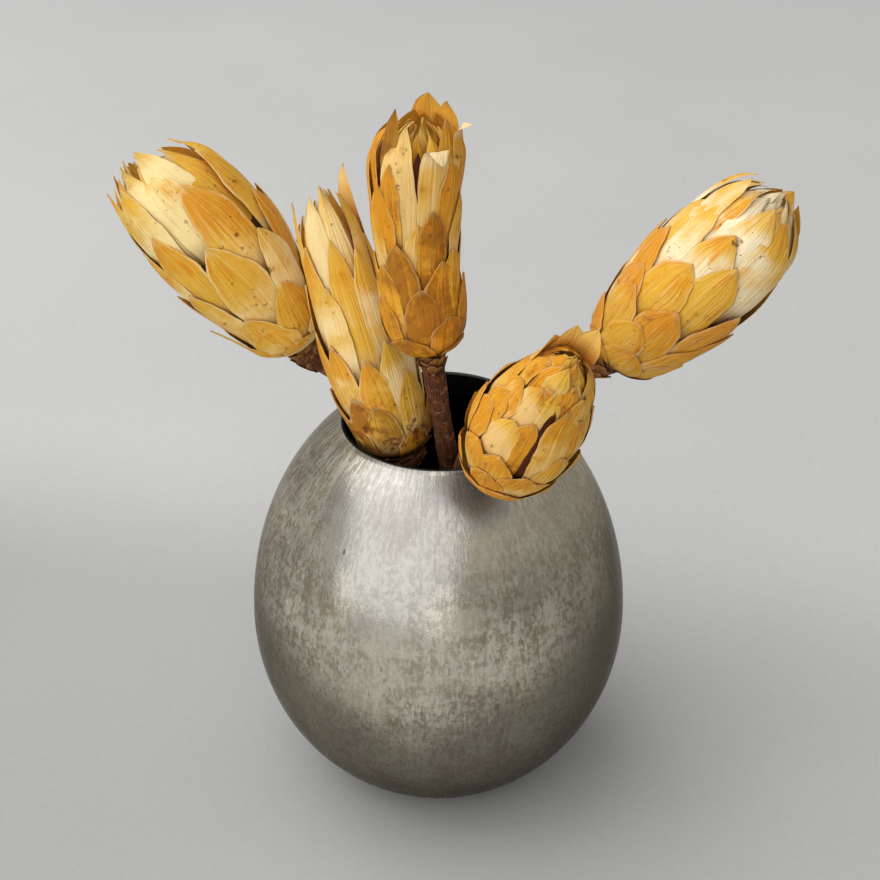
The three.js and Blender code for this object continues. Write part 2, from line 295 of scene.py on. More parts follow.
def closed_skins(rings, first, last):
    """Closed skins from rings of points, pieces x rows x columns x 3. Each ring joins the next, and
    the end rings close on the first and last poles, pieces x 3. Returns points and faces."""
    pieces, rows, columns, _ = rings.shape
    points = np.concatenate([first[:, None], rings.reshape(pieces, rows * columns, 3), last[:, None]], 1)
    start = (np.arange(pieces) * (rows * columns + 2))[:, None, None]
    row = 1 + (np.arange(rows) * columns)[None, :, None]
    here = np.arange(columns)[None, None]
    there = (here + 1) % columns
    low, high = start + row[:, :-1], start + row[:, 1:]
    quads = np.stack([low + here, high + here, high + there, low + there], -1)
    bottom = np.stack(np.broadcast_arrays(start, start + 1 + here, start + 1 + there), -1)
    top = start + row[:, -1:]
    summit = np.stack(np.broadcast_arrays(start + rows * columns + 1, top + there, top + here), -1)
    return points.reshape(-1, 3), [quads.reshape(-1, 4), bottom.reshape(-1, 3), summit.reshape(-1, 3)]


def carry(piece, name, values):
    """Gives each point of a piece a vector that its material reads."""
    layer = piece.data.attributes.new(name, "FLOAT_VECTOR", "POINT")
    layer.data.foreach_set("vector", np.ascontiguousarray(values, np.float32).ravel())


def pewter_finish():
    """Grey metal with olive and tan clouds, worn bright in dapples and strokes that follow the
    brushing, with a dark nick and a pale scuff. Painted shade darkens it to the right, below and at
    the foot and dims the window's reflection near the rim; painted light brightens the reflection's
    lower part and the upper right shoulder; a painted dark reflection of the front head lies under
    the head. Where the carried inside shade is one, it is painted nearly black as shade."""
    pewter = Finish("brushed_pewter", Metallic=0.86, Specular_Tint=(0.45, 0.43, 0.4, 1))
    brushing = pewter.attribute("brushing")
    inside_shade, _, _ = pewter.split(pewter.attribute("inside_shade"))
    spot = pewter.spot()
    across, _, height = pewter.split(spot)
    clouds = pewter.noise(spot, 24.0, 3.0, 0.55, 0.4)
    specks = pewter.noise(spot, 1700.0, 2.0, 0.6)

    def brushed(around, up, detail, rough, bend=0.0):
        """Noise that follows the brushing, with so many grains a metre round and up the wall."""
        return pewter.noise(pewter.stretch(brushing, (around, around, up)), 1.0, detail, rough, bend)

    patches = brushed(around=170, up=110, detail=3.0, rough=0.6, bend=0.3)
    blotches = brushed(around=75, up=60, detail=4.0, rough=0.65, bend=0.2)
    bands = brushed(around=16, up=130, detail=3.0, rough=0.6, bend=0.2)
    strokes = brushed(around=900, up=430, detail=3.0, rough=0.6)
    crossing = brushed(around=130, up=1100, detail=2.0, rough=0.6)
    dapples = brushed(around=520, up=400, detail=2.0, rough=0.55, bend=0.3)
    scratches = brushed(around=1100, up=120, detail=1.0, rough=0.5)
    dashes = brushed(around=800, up=260, detail=1.0, rough=0.5)
    rays = brushed(around=420, up=40, detail=3.0, rough=0.7)

    worn = (pewter.step(patches, 0.3, 0.7) * 0.18 + pewter.step(strokes, 0.3, 0.7) * 0.3
            + pewter.step(dapples, 0.36, 0.64) * 0.3 + pewter.step(crossing, 0.35, 0.65) * 0.08
            + pewter.step(specks, 0.3, 0.7) * 0.14)
    worn = worn + (pewter.step(height, *RAYS_UP) * 0.35 + 0.12) * (pewter.step(rays, 0.38, 0.62) - 0.5)
    tint = clouds * 0.5 + blotches * 0.5 + (dapples - 0.5) * 0.3
    ground = pewter.mix(pewter.step(tint, 0.42, 0.58), OLIVE, TAN)
    metal = pewter.mix(pewter.step(worn, 0.24, 0.76), pewter.mix(1.0, ground, DULLED, "MULTIPLY"),
                       pewter.mix(BRIGHTENING, ground, BRIGHT))
    blotch = (blotches - 0.5) * 1.4 + (clouds - 0.5) * 0.8 + (bands - 0.5) * 0.9
    aged = pewter.step(height, *AGED_UP)
    low = height - abs(across + UNDERSIDE_SHADE_ASIDE) * 0.5
    metal = pewter.layers(
        metal,
        (pewter.step(blotch, -0.05, 0.28) * 0.4, DARK_BLOTCH),
        (pewter.step(blotch, 0.02, -0.28) * 0.42, PALE_BLOTCH),
        (pewter.step(scratches, 0.64, 0.72) * (aged * 0.3 + 0.1), PALE_SCRATCH),
        (pewter.step(dashes, 0.34, 0.26) * (aged * 0.45 + 0.1), DARK_DASH),
        # Painted highlight: lighter grey that carries the window's reflection further down the front.
        (pewter.near(spot, **PAINTED_HIGHLIGHT) * 0.14, PAINTED_HIGHLIGHT_GREY),
        # Painted shade: darker grey that dims and evens the window's reflection near the rim.
        (pewter.near(spot, **DIMMED_HIGHLIGHT) * 0.75, DIMMED_HIGHLIGHT_GREY),
        # Painted light: paler straw on the upper right shoulder, as if lit from above.
        (pewter.step(across, *SHOULDER_LIGHT_ACROSS) * pewter.step(height, *SHOULDER_LIGHT_UP) * 0.4, SHOULDER_LIGHT),
        # Painted reflection: dark grey where the front head is mirrored in the metal.
        (pewter.near(spot, **HEAD_REFLECTION) * 0.6, HEAD_REFLECTION_GREY),
        # Painted shade: darker towards the right side, below the shoulder.
        (pewter.step(across, *RIGHT_SHADE_ACROSS) * pewter.step(height, *RIGHT_SHADE_UP) * 0.75, RIGHT_SHADE_DARK),
        # Painted shade: darker low down, and more so towards the sides.
        (pewter.step(low, *UNDERSIDE_SHADE_UP) * 0.78, UNDERSIDE_SHADE),
        (pewter.step(height, *FOOT_UP) * 0.6, FOOT_SHADE),
        (pewter.near(spot, **NICK) * 0.8, NICK_DARK),
        (pewter.near(spot, **SCUFF) * pewter.step(specks, 0.35, 0.6) * 0.8, SCUFF_PALE))
    # Painted shade: the inside is nearly black, with a lighter grey line at the collar's lower edge.
    lip = pewter.step(abs(height - LIP_HEIGHT), *LIP_EDGE)
    metal = pewter.mix(inside_shade, metal, pewter.mix(lip, INSIDE_SHADE_DARK, LIP_GREY))
    pewter.bump(strokes * 0.5 + patches * 0.5 + specks * 0.3, BRUSHING_DEPTH, 0.45)
    return pewter.feed(Base_Color=metal, Roughness=pewter.step(worn, 0.1, 0.9, 0.32, 0.2))


# The profile goes round the sole's edge, up the outside, over the rim, down the collar and then
# down the inside to the floor.
foot = -math.asin(BELLY_HEIGHT / LOWER_REACH)
neck = math.asin((VASE_HEIGHT - RIM_ROLL - BELLY_HEIGHT) / UPPER_REACH)
outside = vase_wall(np.linspace(foot + SOLE_TURN, neck, OUTSIDE_ROWS), 0)
inside = vase_wall(np.linspace(neck - COLLAR_TURN, foot + WELL_TURN, INSIDE_ROWS), WALL)
mouth = outside[-1, 0] - WALL
roll = np.linspace(ROLL_FROM, np.pi, RIM_ROWS)
rim = np.stack([mouth + WALL / 2 * (1 + np.cos(roll)), VASE_HEIGHT - RIM_ROLL + RIM_ROLL * np.sin(roll)], 1)
collar_end = VASE_HEIGHT - COLLAR_DROP
collar = np.array([
    [mouth, VASE_HEIGHT - COLLAR_TOP], [mouth, collar_end + COLLAR_CORNER],
    [mouth + COLLAR_CORNER, collar_end], [mouth + COLLAR_WALL, collar_end]])
floor_edge = vase_wall(np.array([foot]), 0)[0, 0]
sole = np.array([[floor_edge - SOLE_EDGE, 0], [floor_edge - SOLE_ROUND, SOLE_LIFT]])
well = np.array([[floor_edge - WELL_EDGE, VASE_FLOOR], [floor_edge * 0.5, VASE_FLOOR]])
profile = np.concatenate([sole, outside, rim, collar, inside, well])
turn = np.linspace(0, 2 * np.pi, VASE_SIDES, endpoint=False)
radius, level = profile[:, :1], profile[:, 1:]
rings = np.stack(np.broadcast_arrays(radius * np.cos(turn), radius * np.sin(turn), level), -1)[None]
points, faces = closed_skins(rings, np.zeros((1, 3)), np.array([[0, 0, VASE_FLOOR]]))
vase = put_mesh("vase_shell", points, faces)

rise = np.concatenate([[0], np.cumsum(np.linalg.norm(np.diff(profile, axis=0), axis=1))])[:, None]
along_wall = np.stack(np.broadcast_arrays(BELLY_RADIUS * np.cos(turn), BELLY_RADIUS * np.sin(turn), rise), -1)
carry(vase, "brushing", np.concatenate([[[0, 0, 0]], along_wall.reshape(-1, 3), [[0, 0, rise[-1, 0]]]]))
hidden = np.repeat(np.arange(len(profile)) > len(sole) + len(outside) + 1, VASE_SIDES)
carry(vase, "inside_shade", np.concatenate([[0], hidden, [1]])[:, None] * np.ones(3))

vase.data.materials.append(pewter_finish())
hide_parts("vase")
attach(vase, "root")


# Flower heads. Each is a dried sugarbush head: stiff papery bracts that overlap like tiles round
# a core of packed florets. The bracts follow a golden spiral from short round ones at the stem to
# long pale ones at the top, where some have curled or come loose.

GOLDEN_ANGLE = math.pi * (3 - math.sqrt(5))
SEED, SPINE_STEPS = 4.1, 201

# A bract's grid and form. Values with MM are lengths, the ridge and the waves are heights in mm,
# and the rest are shares of its own length, width or thickness.
BRACT_ROWS, BRACT_COLUMNS, TIP_CROWDING, TIP_BEYOND = 24, 22, 1.35, 0.4
BRACT_HALF_THICKNESS, EDGE_THICKNESS, TIP_THINNING = 0.32 * MM, 0.35, 0.55
WIDEST, ROOT_SHARE, LEAST_ROUND = 0.56, 0.88, 5 * MM
SINK, ROOT_DEPTH, SWAY_FROM = 0.06, 1.5 * MM, 0.3
RIDGE, RIDGE_SHARE, EDGE_WAVE, FACE_WAVE = 0.35, 0.16, 0.2, 0.16
NOTCHES, FRAYS = 0.07, 0.03
USUAL_BRACT = dict(
    share=1, level=0.9, hinge=0.72, curl=-0.06, roll=-0.2, lean=0, sway=0, seed=0.5, seed2=0.5, sink=SINK,
    fold=1, dark=0, inside=0)

# Where a head's top starts, and how much deeper each front bract that ends near it lies.
TOP_FROM, NEAR_TOP, NEAR_TOP_STEP = 0.85, 0.9, 0.022
FRONT_MEASURES = ("angle", "root", "tip", "half_width", "level")

# The core under the bracts and the florets that stand in its top.
CORE_DEPTH, CORE_LEAST, CORE_TOP, DOME_FROM = 3.6 * MM, 3.6 * MM, 0.74, 0.7
CORE_ROWS, CORE_SIDES = 40, 36
FLORETS, FLORET_ROWS, FLORET_SIDES, FLORET_RADIUS, FLORET_TAPER = 70, 7, 6, 0.75 * MM, 0.45
FLORET_FROM, FLORET_RISE, FLORET_DOME, FLORET_SPREAD, FLORET_OPENING = 0.54, 0.27, 0.06, 0.3, 0.16
KNOB, KNOB_AT, KNOB_LENGTH = 0.5, 0.86, 0.08

# Each head's spine, the radii up it, half widths and lifts are in mm, and angles in degrees start
# at the front and go to the right. Outer and inner are numbers of bracts, tips and roots are
# places along the spine from 0 to 1, and reach is how far a bract goes down from its tip. Closing
# bends the top ones in, dome raises the inner ones, slant shortens those on one side, and clear is
# the part that is left to the front ones, which are listed, as the loose ones are.
HEADS = {
    "head_left": dict(
        spine=[[-49.1, 16, 171.4], [-74.7, 17, 210.6], [-104.2, 13.6, 247]],
        radii=[12.6, 17.8, 21.8, 24.2, 23.8, 21.4, 16.4], base_radius=5.5, shoulder=0.1,
        outer=38, inner=26, first_tip=0.1, last_tip=1.01, half_width=[9.6, 9.4, 7.8], reach=[0.26, 0.56],
        turn=0.4, point=2.1, lift=-0.1, closing=0.45, dome=0.02, slant=[150, 0.035],
        clear=[-56, 95, 0.28, 0.97], front=[
            [-27, 0.2, 0.80, 9, -0.1], [10, 0.06, 0.65, 10.6, -0.1], [34, 0.3, 0.88, 10, 0.1],
            [14, 0.5, 1.02, 8.4, 1.1], [-8, 0.52, 1.04, 8, 1.9], [31, 0.55, 1.07, 7.8, 2.3],
            [62, 0.34, 0.97, 10, 0.1], [84, 0.4, 0.89, 8.6, 0.3], [86, 0.2, 0.65, 9.2, -0.2],
            [56, 0.12, 0.56, 7.6, 1.9], [-44, 0.42, 1.02, 8, 0.3], [-42, 0.02, 0.51, 9, 0.3],
            [38, 0.01, 0.34, 9, -0.1], [-12, 0.01, 0.3, 8.6, 0.2]], loose=[
            dict(angle=-58, root=0.04, tip=0.31, half_width=3.4, lift=2.6, sink=0.02),
            dict(angle=-62, root=0.55, tip=1.0, half_width=8, lift=0, share=0.98, level=1.2, curl=-0.1)]),
    "head_tall": dict(
        spine=[[-13.1, -6, 141.5], [-28.4, -2.2, 191.8], [-41, 2, 240.7]],
        radii=[13.4, 16.2, 17.4, 16.4, 14.2, 12.2, 9.2], base_radius=8.5, shoulder=0.06,
        outer=38, inner=18, first_tip=0.1, last_tip=0.98, half_width=[7.8, 6.6, 5.4], reach=[0.26, 0.6],
        turn=2.1, point=1.9, lift=-0.15, closing=0.2, dome=0.02, slant=[-90, 0.02],
        clear=[-55, 50, 0.26, 0.97], front=[
            [-20, 0.5, 1.01, 5.8, 2.4], [14, 0.3, 1.04, 7.2, 2], [8, 0.2, 0.86, 6.6, 0.6],
            [-46, 0.38, 0.84, 5.8, 0.8], [-25, 0.28, 0.70, 6.2, 1], [-33, 0.08, 0.5, 6.6, 0.4],
            [5, 0.06, 0.43, 6.8, 0.3], [37, 0.06, 0.47, 7.4, 0.8], [-24, 0.01, 0.3, 7.2, 0.2],
            [44, 0.3, 0.8, 6.4, 1.6]], loose=[
            dict(angle=130, root=0.62, tip=1.05, half_width=5, lift=4, inside=0.35, sink=0.02),
            dict(angle=-70, root=0.5, tip=0.99, half_width=3.6, lift=1.2)]),
    "head_middle": dict(
        spine=[[-2.5, -25, 192.5], [-7.2, -26, 239.2], [-5.6, -27, 281.6]],
        radii=[12.8, 15.4, 15, 15.6, 16.4, 16.4, 13.6], base_radius=5, shoulder=0.1,
        outer=36, inner=20, first_tip=0.1, last_tip=0.98, half_width=[8, 6.6, 6.2], reach=[0.26, 0.54],
        turn=1.1, point=2.4, lift=-0.2, closing=0.7, dome=0.0, slant=[-60, 0.015],
        clear=[-52, 52, 0.3, 1.1], front=[
            [-34, 0.42, 0.84, 4.4, 0.3], [-24, 0.1, 0.52, 7, 0.1], [22, 0.22, 0.66, 6, 0.0],
            [34, 0.04, 0.44, 7.8, 0.2], [2, 0.01, 0.34, 7.4, 0.1], [-52, 0.01, 0.42, 7, 0.3],
            [48, 0.36, 0.88, 6, 0.3], [-50, 0.3, 0.74, 6.4, 0.5]], loose=[
            dict(angle=-24, root=0.24, tip=0.99, half_width=7.4, lift=0.6, lean=0.2, curl=-0.4, level=2.8,
                 point=2.6),
            dict(angle=24, root=0.24, tip=0.99, half_width=6.4, lift=0.3, lean=-0.2, hinge=0.9, curl=2.3,
                 fold=3, inside=1, point=3.4, level=1.5),
            dict(angle=4, root=0.2, tip=0.6, half_width=6, share=0.92, level=1.6),
            # A near-black strip in the slit, standing for its shade.
            dict(angle=1, root=0.6, tip=0.9, half_width=1.9, share=0.93, dark=1),
            dict(angle=-44, root=0.7, tip=1.04, half_width=3.4, share=0.96, lift=-0.6, dark=0.55),
            dict(angle=48, root=0.55, tip=1.02, half_width=5.6, share=0.97, curl=-0.3, dark=0.12),
            dict(angle=168, root=0.6, tip=1.03, half_width=6.6, lift=-1, hinge=0.8, curl=-0.5, point=3.4),
            dict(angle=130, root=0.6, tip=1.02, half_width=6.4, lift=-1, hinge=0.85, curl=-0.6, point=3),
            dict(angle=72, root=0.6, tip=1.02, half_width=6, lift=0.3, hinge=0.86, curl=1.2, fold=2, inside=1,
                 point=3)]),
    "head_front": dict(
        spine=[[20.4, -46.8, 159.8], [32, -66.8, 194.1], [43, -88.8, 226.6]],
        radii=[15.4, 18.2, 20.2, 18.8, 15, 11.2, 8], base_radius=5.5, shoulder=0.1,
        outer=46, inner=34, first_tip=0.1, last_tip=0.97, half_width=[8.2, 6.8, 5.4], reach=[0.24, 0.46],
        turn=3, point=2.8, lift=0.25, closing=0.7, dome=0.06, slant=[150, 0.04],
        clear=[-72, 46, 0.33, 0.93], front=[
            [-36, 0.28, 0.64, 7, 1.2], [-17, 0.2, 0.69, 6, -0.2], [-38, 0.5, 0.86, 5.4, 2],
            [-12, 0.5, 0.88, 5.2, 1.5], [-22, 0.64, 1.0, 4.6, 2], [14, 0.52, 0.92, 5, 1.5],
            [-52, 0.08, 0.41, 7.2, 0.5], [-24, 0.1, 0.44, 7.2, 0.4], [31, 0.08, 0.52, 6.8, 0.6],
            [-76, 0.22, 0.58, 6.8, 0.3], [48, 0.3, 0.72, 6.6, 0.5], [-68, 0.44, 0.78, 6.4, 1],
            [38, 0.5, 0.86, 5.6, 0.8], [4, 0.01, 0.38, 7.6, 0.3]], loose=[
            dict(angle=20, root=0.2, tip=0.82, half_width=6.2, lift=0.5, lean=-0.7, sink=0.03, share=1.02),
            # A near-black strip in the slit, standing for its shade.
            dict(angle=1, root=0.3, tip=0.8, half_width=2, sink=0.02, share=0.99, lift=0, dark=1),
            dict(angle=190, root=0.5, tip=1.0, half_width=7, lift=1.4, hinge=0.8, curl=0.4, inside=0.1,
                 point=2.6),
            dict(angle=155, root=0.5, tip=1.02, half_width=6, lift=1.8, hinge=0.8, curl=0.4, inside=0.1,
                 point=3),
            dict(angle=222, root=0.5, tip=0.94, half_width=6.4, lift=1, hinge=0.8, curl=0.3, inside=0.1,
                 point=2.6)]),
    "head_right": dict(
        spine=[[59.4, 2.4, 174.4], [89.3, 0.4, 207.4], [116.8, -2.2, 240.6]],
        radii=[13.4, 18.4, 22, 23.2, 22.6, 20.2, 15], base_radius=5.5, shoulder=0.1,
        outer=38, inner=26, first_tip=0.1, last_tip=1.0, half_width=[9.4, 9, 8], reach=[0.26, 0.56],
        turn=5.2, point=2.2, lift=-0.1, closing=0.8, dome=0.03, slant=[0, 0],
        clear=[-64, 48, 0.22, 0.96], front=[
            [-3, 0.28, 0.73, 9.2, 0.35], [-38, 0.22, 0.62, 9.8, 0.35], [-26, 0.42, 0.82, 8.2, 0.7],
            [-14, 0.56, 0.99, 7.4, 1.2], [-44, 0.4, 1.0, 9.6, 1.7], [10, 0.44, 0.98, 8.6, 1.1],
            [33, 0.45, 0.9, 8, 0.7], [-11, 0.04, 0.44, 9.8, 0.15], [-29, 0.01, 0.29, 8.4, 0.1],
            [36, 0.14, 0.57, 9.4, 0.5], [36, 0.01, 0.36, 8.4, 0.3], [-58, 0.04, 0.38, 8.8, 0.2],
            [-68, 0.3, 0.86, 8.8, 1], [-84, 0.2, 0.62, 9, 0.4]], loose=[
            dict(angle=-72, root=0.45, tip=1.0, half_width=6, lift=1.2, level=1.0),
            dict(angle=150, root=0.6, tip=1.0, half_width=6.5, lift=0.5, share=0.98, level=1.2, curl=-0.3)]),
}

# Each head's ground colour, how much of it is pale, faded, warm, dark and soiled, and its burns.
LOOKS = {
    "head_left": dict(
        cream=(0.99, 0.79, 0.37), pale=-0.10, fade=0.45, warm=-0.05, dark=-0.26, soiled=0.05, burns=[
            [-68.8, -1.3, 225.4, 0.8], [-67.6, -2.3, 220.6, 0.9], [-74.2, -4.4, 222, 0.8],
            [-57.9, 0.4, 211.6, 1.1]]),
    "head_tall": dict(
        cream=(0.94, 0.72, 0.34), pale=0.0, fade=0.4, warm=-0.1, dark=0.05, soiled=0.55, burns=[
            [-24.7, -18.9, 158.2, 1.8], [-9, -15.5, 157.8, 2.3], [-16.7, -19, 152.5, 2.6],
            [-4.8, -13.4, 151.5, 4]]),
    "head_middle": dict(
        cream=(0.84, 0.56, 0.20), pale=-0.32, fade=0.5, warm=0.36, dark=0.50, soiled=0.25, burns=[
            [-12.7, -41.2, 261.5, 0.9]]),
    "head_front": dict(
        cream=(0.86, 0.55, 0.20), pale=0.0, fade=0.35, warm=0.44, dark=0.44, soiled=0.05, burns=[]),
    "head_right": dict(
        cream=(0.94, 0.80, 0.52), pale=-0.50, fade=0.95, warm=0.1, dark=0.22, soiled=0.05, burns=[
            [99.5, -18.7, 231.3, 1.5], [62.2, -1, 207.3, 1]]),
}
BURN_SPREAD, CREASE_DEPTH, HAIR_DEPTH = 1.4, 1.4 * MM, 0.6 * MM
GOLD, ORANGE, FIBRE_BROWN = (0.80, 0.45, 0.045), (0.74, 0.30, 0.013), (0.50, 0.20, 0.012)
STAIN_BROWN, FLECK_BROWN, SPECKLE_BROWN = (0.28, 0.10, 0.010), (0.18, 0.06, 0.010), (0.22, 0.075, 0.010)
SCORCHED, CHARRED, SHADE_DARK_BROWN = (0.17, 0.045, 0.008), (0.13, 0.03, 0.008), (0.085, 0.018, 0.005)
RIM_HIGHLIGHT_CREAM, ROOT_SHADE_BROWN, TURNED_TIP = (0.95, 0.74, 0.38), (0.25, 0.09, 0.008), (0.90, 0.70, 0.40)
INNER_GOLD_AND_GLOW, INNER_CREAM = (0.95, 0.54, 0.08), (0.90, 0.70, 0.38)
FELT_DARK, FELT_BROWN, HAIR_TAN, CORE_SHADE_BLACK = (
    (0.12, 0.035, 0.012), (0.34, 0.12, 0.03), (0.62, 0.34, 0.14), (0.03, 0.010, 0.004))


def unit(vectors):
    """The vectors scaled to a length of one."""
    return vectors / np.linalg.norm(vectors, axis=-1, keepdims=True)


def draw(items, kind):
    """Seeded draws between -1 and 1 for items of a kind: the fraction of a large multiple of a sine."""
    n = np.sin(items * 12.9898 + kind * 78.233 + SEED) * 43758.5453
    return 2 * (n - np.floor(n)) - 1


def make_spine(base, middle, tip):
    """A quadratic curve from base at t = 0 to tip at t = 1, half way at middle, going on straight
    past its ends. Returns its length and a function from t, angle and radius to points."""
    base, middle, tip = (np.array(p, float) * MM for p in (base, middle, tip))
    control = 2 * middle - (base + tip) / 2
    u = np.linspace(0, 1, SPINE_STEPS)[:, None]
    track = (1 - u) ** 2 * base + 2 * u * (1 - u) * control + u ** 2 * tip
    length = np.linalg.norm(np.diff(track, axis=0), axis=1).sum()

    def place(t, angle, radius):
        """The point of the spine at t, moved out by radius at angle: 0 to the front, and a quarter
        turn to the right."""
        t, angle, radius = (np.asarray(v, float)[..., None] for v in np.broadcast_arrays(t, angle, radius))
        u = np.clip(t, 0, 1)
        along = unit((1 - u) * (control - base) + u * (tip - control))
        centre = (1 - u) ** 2 * base + 2 * u * (1 - u) * control + u ** 2 * tip + along * (t - u) * length
        front = unit(np.array([0, -1, 0]) + along * along[..., 1:2])
        side = np.cross(along, front)
        return centre + radius * (np.cos(angle) * front + np.sin(angle) * side)

    return length, place


def make_envelope(head):
    """A head's outer radius at t: a smooth curve through its radii at equal steps, rounded in below
    the shoulder as a quarter ellipse, and never under the base radius."""
    knots = np.array(head["radii"], float)
    ends = np.concatenate([knots[:1], knots, knots[-1:]])
    slopes = (ends[2:] - ends[:-2]) / 2

    def envelope(t):
        """The radius in metres at each t."""
        place = np.clip(t, 0, 1) * (len(knots) - 1)
        k = np.minimum(place.astype(int), len(knots) - 2)
        w = place - k
        a, b, p, q = knots[k], knots[k + 1], slopes[k], slopes[k + 1]
        full = (2 * a - 2 * b + p + q) * w ** 3 + (3 * b - 3 * a - 2 * p - q) * w ** 2 + p * w + a
        below = np.clip(1 - t / head["shoulder"], 0, 1)
        return np.maximum(head["base_radius"], full * np.sqrt(1 - below ** 2)) * MM

    return envelope


def bract_outline(s, point):
    """Half width along a bract, as a share: a broad root that swells to full width a little over
    half way up, then falls to nothing at the tip, sharper for a smaller point."""
    return np.where(s < WIDEST, ROOT_SHARE + (1 - ROOT_SHARE) * np.sin(np.pi / 2 * s / WIDEST),
                    1 - np.clip((s - WIDEST) / (1 - WIDEST), 0, 1) ** point)


def make_bracts(length, place, envelope, bracts):
    """Closed lens-shaped blades that lie on the envelope: s goes from the root to the tip, x across
    and z from the inner face to the outer. Each goes deeper the further below its tip by its sink,
    and its very root deeper still. The tip lifts with the cube of s, and past its hinge it curls out
    by an angle, faster for a higher fold. A ridge runs up the middle, waves run along the edges and
    across the face, the edges roll and lean with the square of s, and two sines make the outline
    ragged. Each part of bracts is one value or an array with a value a bract. Returns rings, poles
    and what the material reads."""
    line = {key: np.broadcast_to(np.asarray(value, float), len(bracts["tip"]))[:, None]
            for key, value in bracts.items()}
    face = {key: value[:, :, None] for key, value in line.items()}
    s = (1 - (1 - np.linspace(0, 1, BRACT_ROWS + 2)) ** TIP_CROWDING)[None]
    ds = np.diff(s, axis=1, prepend=0)
    reach = line["tip"] - line["root"]
    bend = line["curl"] * np.clip(line["fold"] * (s - line["hinge"]) / (1 - line["hinge"]), 0, 1)
    t = line["root"] + reach * np.cumsum(np.cos(bend) * ds, 1)
    rise = reach * length * np.cumsum(np.sin(bend) * ds, 1)
    full = envelope(t) * line["share"]
    depth = line["sink"] * np.maximum(line["tip"] - t, 0) * length + ROOT_DEPTH * (1 - s) ** 4
    middle = full - depth + line["lift"] * MM * s ** 3 + rise
    half = line["half_width"] * MM * bract_outline(s, line["point"]) / np.maximum(full, LEAST_ROUND)
    t, middle, half, s = (v[:, 1:-1, None] for v in np.broadcast_arrays(t, middle, half, s))
    phi = np.linspace(0, 2 * np.pi, BRACT_COLUMNS, endpoint=False)
    x, z = np.cos(phi), np.sin(phi)
    side, seed = np.sign(x), face["seed"]
    ridge = RIDGE * np.exp(-(x / RIDGE_SHARE) ** 2) * s ** 0.5
    edge = (face["roll"] * x ** 2 + face["lean"] * x) * s ** 2
    wave = EDGE_WAVE * np.sin(9 * s + 6 * seed + 2.5 * side) * x ** 2 * s
    wave = wave + FACE_WAVE * np.sin(8 * x + 12 * seed + 2 * s) * (1 - x ** 2)
    ragged = 1 + (NOTCHES * np.sin(17 * s + 30 * seed + 2 * side)
                  + FRAYS * np.sin(41 * s + 70 * seed + 5 * side)) * s
    plump = (1 - TIP_THINNING * s) * (EDGE_THICKNESS + (1 - EDGE_THICKNESS) * (1 - np.abs(x) ** 3))
    radius = middle + (ridge + edge + wave) * MM + (z * plump - 1) * BRACT_HALF_THICKNESS
    radius = np.maximum(radius, (1 + 0.3 * z) * MM)
    drift = face["sway"] * (s - SWAY_FROM) * np.clip(s - SWAY_FROM, 0, 1)
    rings = place(t + 0 * x, face["angle"] + x * half * ragged + drift, radius)
    first, last = rings[:, 0].mean(1), rings[:, -1].mean(1)
    last = last + (last - rings[:, -2].mean(1)) * TIP_BEYOND

    def over_rings(*parts):
        """Values that each point of the rings carries."""
        return np.stack([part + 0 * rings[..., 0] for part in parts], -1)

    blade = over_rings(x, s, z)
    tone = over_rings(seed, face["level"], face["seed2"])
    age = over_rings(face["dark"], face["inside"], 0)
    return rings, first, last, blade, tone, age


def with_poles(values):
    """Adds each piece's two poles to values on its rings, taken from the end rings' means."""
    pieces, rows, columns, parts = values.shape
    first, last = (values[:, k].mean(1)[:, None] for k in (0, -1))
    return np.concatenate([first, values.reshape(pieces, rows * columns, parts), last], 1).reshape(-1, parts)


def front_bracts(head, order):
    """The bracts listed for a head's front. The nearer to the top one ends, the more it bends
    in with the head, and each further one that ends near the top lies a little deeper."""
    front = [dict(zip(FRONT_MEASURES, one)) for one in head["front"]]
    near_top = 0
    for k, one in enumerate(front):
        closing = max(one["tip"] - TOP_FROM, 0) / (1 - TOP_FROM)
        one["curl"] = USUAL_BRACT["curl"] - head["closing"] * closing
        if one["tip"] > NEAR_TOP:
            near_top += 1
            one["share"] = 1 - NEAR_TOP_STEP * near_top
        one["seed"], one["seed2"] = 0.5 + 0.25 * draw(k, order + 220), 0.5 + 0.5 * draw(k, order + 230)
        one["sway"], one["lean"] = 0.12 * draw(k, order + 240), 0.2 * draw(k, order + 250)
    return front


